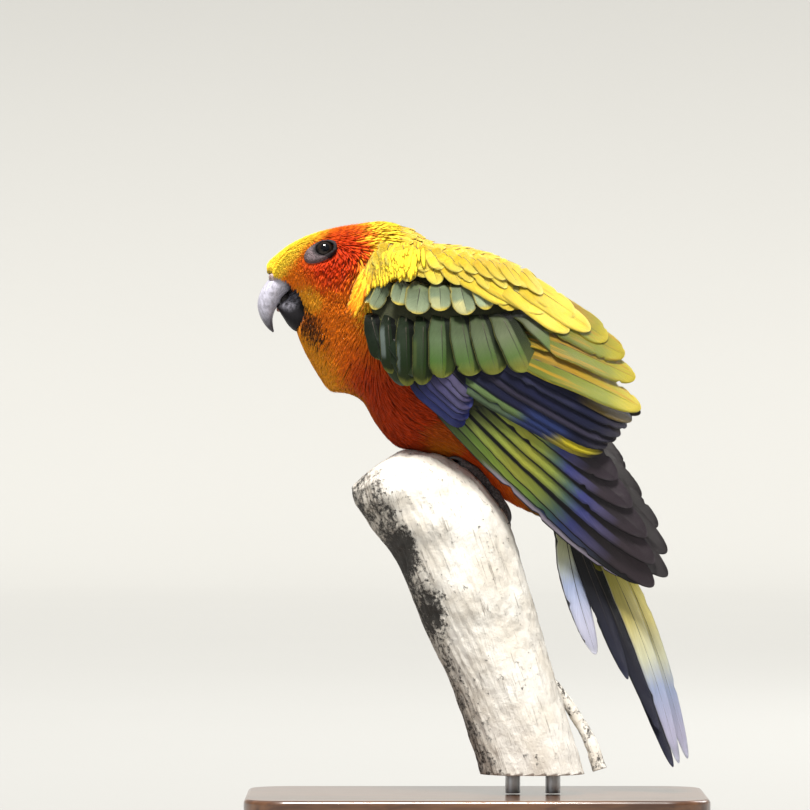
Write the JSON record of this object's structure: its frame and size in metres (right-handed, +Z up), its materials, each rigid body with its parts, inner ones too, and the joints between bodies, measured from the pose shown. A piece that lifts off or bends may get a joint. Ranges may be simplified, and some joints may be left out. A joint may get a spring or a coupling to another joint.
{
  "type": "sun conure",
  "caption": "Sun conure, life size, crouched on the end of a bleached branch with its wings folded and its long tail hanging, on a flat display base.",
  "frame": {"origin": "middle of the display base's underside", "axes": "+Z up, the bird faces -X with its left side towards -Y"},
  "size_m": [0.184, 0.12, 0.2387],
  "materials": {
    "body_plumage": "soft orange and yellow body feathers",
    "wing_plumage": "smooth yellow, green and blue-violet wing feathers",
    "tail_plumage": "smooth olive and pale blue tail feathers",
    "bill_horn": "dark grey horn with a dull gloss",
    "tongue_flesh": "dull flesh",
    "eye_gloss": "wet gloss",
    "leg_skin": "dry grey scaly skin with dark claws",
    "bleached_wood": "dry bleached branch with dark weathered pits",
    "base_wood": "dark stained, satin",
    "rod_steel": "brushed"
  },
  "bodies": {
    "root": {"head": "body_plumage", "neck": "body_plumage", "torso": "body_plumage", "upper_bill": "bill_horn", "lower_bill": "bill_horn", "tongue": "tongue_flesh", "eye_left": "eye_gloss", "eye_right": "eye_gloss", "wing_left": "wing_plumage", "wing_right": "wing_plumage", "tail": "tail_plumage", "leg_left": "leg_skin", "leg_right": "leg_skin", "perch_branch": "bleached_wood", "perch_twig": "bleached_wood", "stand_base": "base_wood", "stand_rod_1": "rod_steel", "stand_rod_2": "rod_steel"}
  },
  "joints": []
}
